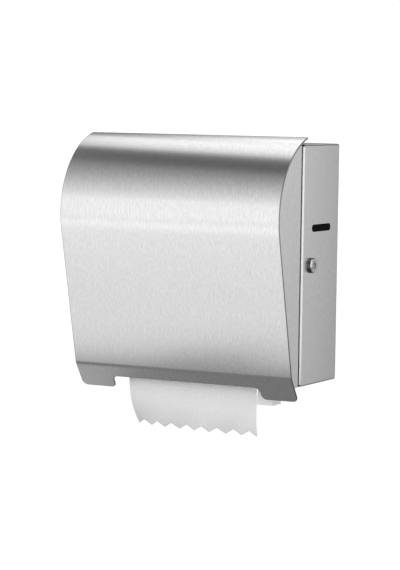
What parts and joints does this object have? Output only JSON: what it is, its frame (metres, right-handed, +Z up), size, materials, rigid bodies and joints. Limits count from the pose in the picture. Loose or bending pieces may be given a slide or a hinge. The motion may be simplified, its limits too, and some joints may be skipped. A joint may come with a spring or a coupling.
{
  "type": "autocut towel dispenser",
  "caption": "Wall-hung stainless towel dispenser: bowed side-hinged cover with cam lock, level window, and a spring-driven cutting drum that feeds a hanging paper towel from a roll.",
  "frame": {"origin": "centre of the four wall-screw holes, on the back face", "axes": "+Z up, +Y into the wall, +X to the user's right"},
  "size_m": [0.3579, 0.192, 0.4274],
  "materials": {
    "brushed_stainless": "brushed",
    "nickel_plate": "polished",
    "zinc_steel": "zinc plated",
    "spring_steel": "drawn",
    "smoked_lens": "gloss",
    "white_abs": "fine satin",
    "grey_acetal": "satin",
    "grip_rubber": "matte",
    "towel_paper": "embossed",
    "core_board": "matte"
  },
  "bodies": {
    "body": {"body_shell": "brushed_stainless", "window_lens": "smoked_lens", "lock_housing": "nickel_plate", "lock_nut": "nickel_plate", "hinge_body_leaves": "brushed_stainless", "hinge_pins": "zinc_steel", "frame_plate_left": "white_abs", "frame_plate_right": "white_abs", "tie_rods": "zinc_steel", "rear_guide": "white_abs", "exit_guide": "white_abs", "exit_chute": "white_abs", "frame_screws": "zinc_steel", "drive_housing": "white_abs", "housing_screws": "zinc_steel", "spring_anchor": "zinc_steel", "return_spring": "spring_steel", "drum_bearing_left": "grey_acetal", "drum_bearing_right": "grey_acetal", "roll_arm_left": "white_abs", "hub_left": "grey_acetal", "arm_bracket": "white_abs", "arm_pivot_pin": "zinc_steel", "arm_spring": "spring_steel", "pawl_pin": "zinc_steel", "pinch_springs": "spring_steel", "towel_web": "towel_paper", "towel_tail": "towel_paper"},
    "cover": {"cover_skin": "brushed_stainless", "cover_cheek_left": "brushed_stainless", "cover_cheek_right": "brushed_stainless", "cover_rail": "brushed_stainless", "lock_strike": "brushed_stainless", "hinge_cover_leaves": "brushed_stainless", "cover_rivets": "brushed_stainless"},
    "lock": {"lock_plug": "nickel_plate", "lock_cam": "zinc_steel", "lock_cam_screw": "zinc_steel"},
    "drum": {"drum_shell": "white_abs", "drum_cap_left": "grey_acetal", "drum_cap_right": "grey_acetal", "drum_axle": "zinc_steel", "grip_bands": "grip_rubber", "crank_disc": "grey_acetal", "crank_pin": "zinc_steel", "feed_knob": "grey_acetal", "ratchet_wheel": "grey_acetal"},
    "knife": {"knife_holder": "grey_acetal", "knife_blade": "spring_steel"},
    "pinch_carrier": {"pinch_blocks": "grey_acetal"},
    "pinch_roller": {"pinch_sleeve": "grip_rubber", "pinch_axle": "zinc_steel"},
    "roll": {"towel_roll": "towel_paper", "roll_core": "core_board"},
    "roll_arm": {"roll_arm_right": "white_abs", "hub_right": "grey_acetal"},
    "pawl": {"pawl": "grey_acetal"}
  },
  "joints": [
    {"name": "cover_hinge", "type": "hinge", "parent": "body", "child": "cover", "pos_m": [-0.173, -0.11715, 0], "axis": [0, 0, -1], "range_deg": [0, 110]},
    {"name": "lock_turn", "type": "hinge", "parent": "body", "child": "lock", "pos_m": [0.165, -0.089, 0], "axis": [-1, 0, 0], "range_deg": [0, 90]},
    {"name": "drum_spin", "type": "hinge", "parent": "body", "child": "drum", "pos_m": [0, -0.0724, -0.112], "axis": [1, 0, 0], "continuous": true, "deforming": ["return_spring"]},
    {"name": "knife_cut", "type": "slide", "parent": "drum", "child": "knife", "axis": [0, -0.5736, -0.8192], "range_m": [0, 0.008], "stiffness_N_per_m": 200, "springref_m": -0.006, "deforming": ["towel_web"]},
    {"name": "pinch_lift", "type": "slide", "parent": "body", "child": "pinch_carrier", "axis": [0, 0.342, 0.9397], "range_m": [0, 0.004], "stiffness_N_per_m": 800, "springref_m": -0.004, "deforming": ["pinch_springs"]},
    {"name": "pinch_spin", "type": "hinge", "parent": "pinch_carrier", "child": "pinch_roller", "pos_m": [0, -0.05626, -0.06765], "axis": [1, 0, 0], "continuous": true},
    {"name": "roll_spin", "type": "hinge", "parent": "body", "child": "roll", "pos_m": [0, -0.092, 0.062], "axis": [1, 0, 0], "continuous": true},
    {"name": "roll_arm_swing", "type": "hinge", "parent": "body", "child": "roll_arm", "pos_m": [0.1178, -0.014, 0.062], "axis": [0, 0, 1], "range_deg": [0, 14], "stiffness_Nm_per_rad": 0.6, "springref_deg": -11.46, "deforming": ["arm_spring"]},
    {"name": "pawl_pivot", "type": "hinge", "parent": "body", "child": "pawl", "pos_m": [-0.1185, -0.0524, -0.093], "axis": [-1, 0, 0], "range_deg": [0, 25]}
  ],
  "couplings": [
    {"joint": "roll_spin", "follows": "drum_spin", "ratio": -0.475},
    {"joint": "pinch_spin", "follows": "drum_spin", "ratio": -4.75}
  ]
}
